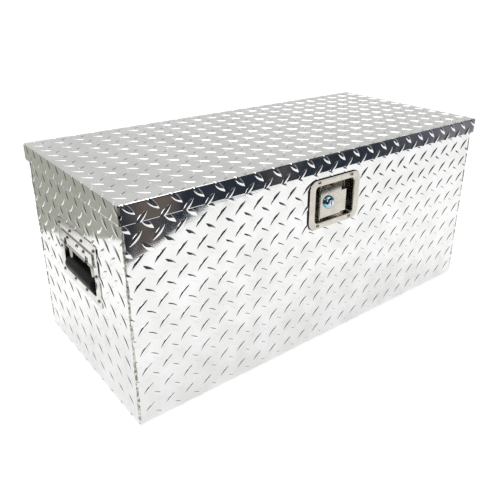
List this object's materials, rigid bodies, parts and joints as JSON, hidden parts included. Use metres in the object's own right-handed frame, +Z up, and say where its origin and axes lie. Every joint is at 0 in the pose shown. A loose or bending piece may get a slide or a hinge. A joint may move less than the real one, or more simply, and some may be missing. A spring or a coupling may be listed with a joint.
{
  "type": "truck tool box",
  "caption": "Aluminium tread-plate chest with a gas-strut lid, a keyed paddle latch on the front and a recessed folding handle at each end.",
  "frame": {"origin": "middle of the chest's underside, in width and depth of the chest's sheet", "axes": "+X to the right seen from the front, +Y to the back, +Z up; the latch is on the -Y side and the handles on the -X and +X ends"},
  "size_m": [0.7746, 0.3583, 0.346],
  "materials": {
    "tread_plate": "bright rolled tread plate with raised lugs",
    "plain_aluminium": "mill finish",
    "stainless": "pressed stainless, lightly brushed",
    "chrome": "bright plate",
    "zinc": "bright zinc plate",
    "rubber": "matte extruded rubber",
    "grip_rubber": "satin moulded grip",
    "strut_black": "black paint"
  },
  "bodies": {
    "chest": {"body_wrap": "tread_plate", "end_panel_left": "tread_plate", "end_panel_right": "tread_plate", "rim_seal": "rubber", "hinge_leaf_body": "plain_aluminium", "hinge_pin": "zinc", "latch_gasket": "rubber", "latch_pan": "stainless", "latch_rivet_1": "zinc", "latch_rivet_2": "zinc", "latch_rivet_3": "zinc", "latch_rivet_4": "zinc", "paddle_stop": "rubber", "paddle_pin": "zinc", "bolt_case": "zinc", "bolt_spring": "zinc", "strut_bracket_body": "plain_aluminium", "handle_dish_left": "stainless", "handle_plate_left": "stainless", "handle_spring_left": "zinc", "handle_dish_right": "stainless", "handle_plate_right": "stainless", "handle_spring_right": "zinc", "handle_rivet_left_1": "zinc", "handle_rivet_left_2": "zinc", "handle_rivet_left_3": "zinc", "handle_rivet_left_4": "zinc", "handle_rivet_left_5": "zinc", "handle_rivet_left_6": "zinc", "handle_rivet_left_7": "zinc", "handle_rivet_left_8": "zinc", "handle_rivet_left_9": "zinc", "handle_rivet_left_10": "zinc", "handle_rivet_right_1": "zinc", "handle_rivet_right_2": "zinc", "handle_rivet_right_3": "zinc", "handle_rivet_right_4": "zinc", "handle_rivet_right_5": "zinc", "handle_rivet_right_6": "zinc", "handle_rivet_right_7": "zinc", "handle_rivet_right_8": "zinc", "handle_rivet_right_9": "zinc", "handle_rivet_right_10": "zinc"},
    "lid": {"lid_sheet": "tread_plate", "lid_stiffener": "plain_aluminium", "hinge_leaf_lid": "plain_aluminium", "lid_strike": "zinc", "strut_bracket_lid": "plain_aluminium"},
    "paddle": {"paddle": "stainless", "lock_barrel": "chrome", "lock_nut": "zinc"},
    "lock_plug": {"lock_plug": "zinc", "lock_cam": "zinc"},
    "slide_bolt": {"slide_bolt": "zinc"},
    "handle_left": {"handle_bail_left": "chrome", "handle_grip_left": "grip_rubber"},
    "handle_right": {"handle_bail_right": "chrome", "handle_grip_right": "grip_rubber"},
    "strut_tube": {"strut_tube": "strut_black"},
    "strut_rod": {"strut_rod": "chrome"}
  },
  "joints": [
    {"name": "lid_hinge", "type": "hinge", "parent": "chest", "child": "lid", "pos_m": [0, 0.1748, 0.314], "axis": [-1, 0, 0], "range_deg": [0, 90]},
    {"name": "paddle_pull", "type": "hinge", "parent": "chest", "child": "paddle", "pos_m": [-0.0346, -0.1684, 0.2633], "axis": [0, 0, -1], "range_deg": [0, 30], "stiffness_Nm_per_rad": 0.5, "springref_deg": -20.05},
    {"name": "lock_turn", "type": "hinge", "parent": "paddle", "child": "lock_plug", "pos_m": [-0.0195, -0.1728, 0.2633], "axis": [0, 1, 0], "range_deg": [0, 90]},
    {"name": "bolt_slide", "type": "slide", "parent": "chest", "child": "slide_bolt", "axis": [1, 0, 0], "range_m": [0, 0.0107], "deforming": ["bolt_spring"]},
    {"name": "handle_left_swing", "type": "hinge", "parent": "chest", "child": "handle_left", "pos_m": [-0.3768, -0.005, 0.2203], "axis": [0, 1, 0], "range_deg": [0, 90], "stiffness_Nm_per_rad": 0.25, "springref_deg": -28.65},
    {"name": "handle_right_swing", "type": "hinge", "parent": "chest", "child": "handle_right", "pos_m": [0.3768, -0.005, 0.2203], "axis": [0, -1, 0], "range_deg": [0, 90], "stiffness_Nm_per_rad": 0.25, "springref_deg": -28.65},
    {"name": "strut_swing", "type": "hinge", "parent": "chest", "child": "strut_tube", "pos_m": [0.355, -0.0142, 0.258], "axis": [1, 0, 0], "range_deg": [0, 3]},
    {"name": "strut_slide", "type": "slide", "parent": "strut_tube", "child": "strut_rod", "axis": [0, 0.8888, 0.4582], "range_m": [0, 0.086]}
  ],
  "couplings": [
    {"joint": "bolt_slide", "follows": "paddle_pull", "m_per_rad": 0.020245},
    {"joint": "strut_swing", "follows": "lid_hinge", "ratio": 0.032275},
    {"joint": "strut_slide", "follows": "lid_hinge", "m_per_rad": 0.054521}
  ]
}
